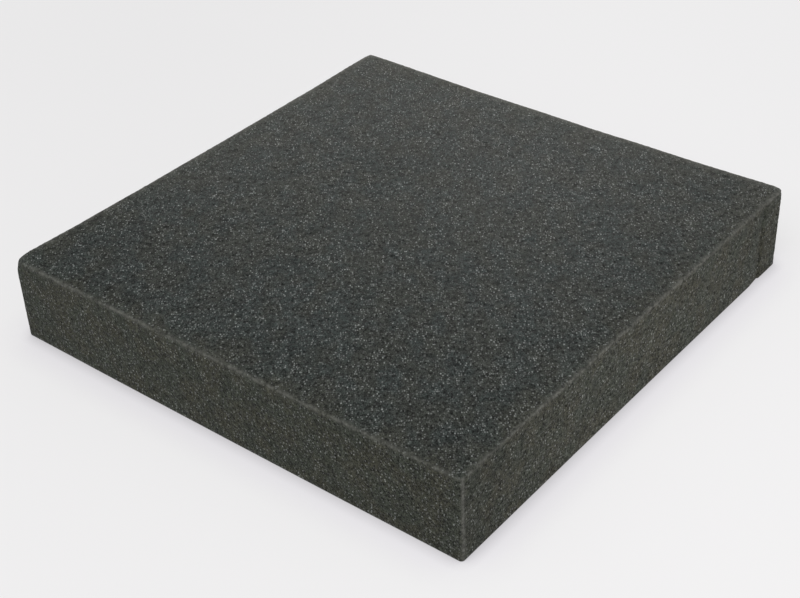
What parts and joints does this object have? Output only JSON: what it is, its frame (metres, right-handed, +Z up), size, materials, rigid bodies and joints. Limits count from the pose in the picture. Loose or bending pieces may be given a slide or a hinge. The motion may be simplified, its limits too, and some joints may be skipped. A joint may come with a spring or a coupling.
{
  "type": "foam block",
  "caption": "Flat, nearly square block of dark charcoal open-cell foam with knife-cut sides, for padding, packing, cushioning or damping sound.",
  "frame": {"origin": "middle of the underside, on the surface that the block lies on", "axes": "+Z up through the thickness, +Y along the slightly longer cut length, +X towards the side that ends in a crease and a raised strip"},
  "size_m": [0.3002, 0.303, 0.05],
  "materials": {
    "charcoal_foam": "matte"
  },
  "bodies": {
    "root": {"foam_block": "charcoal_foam"}
  },
  "joints": []
}
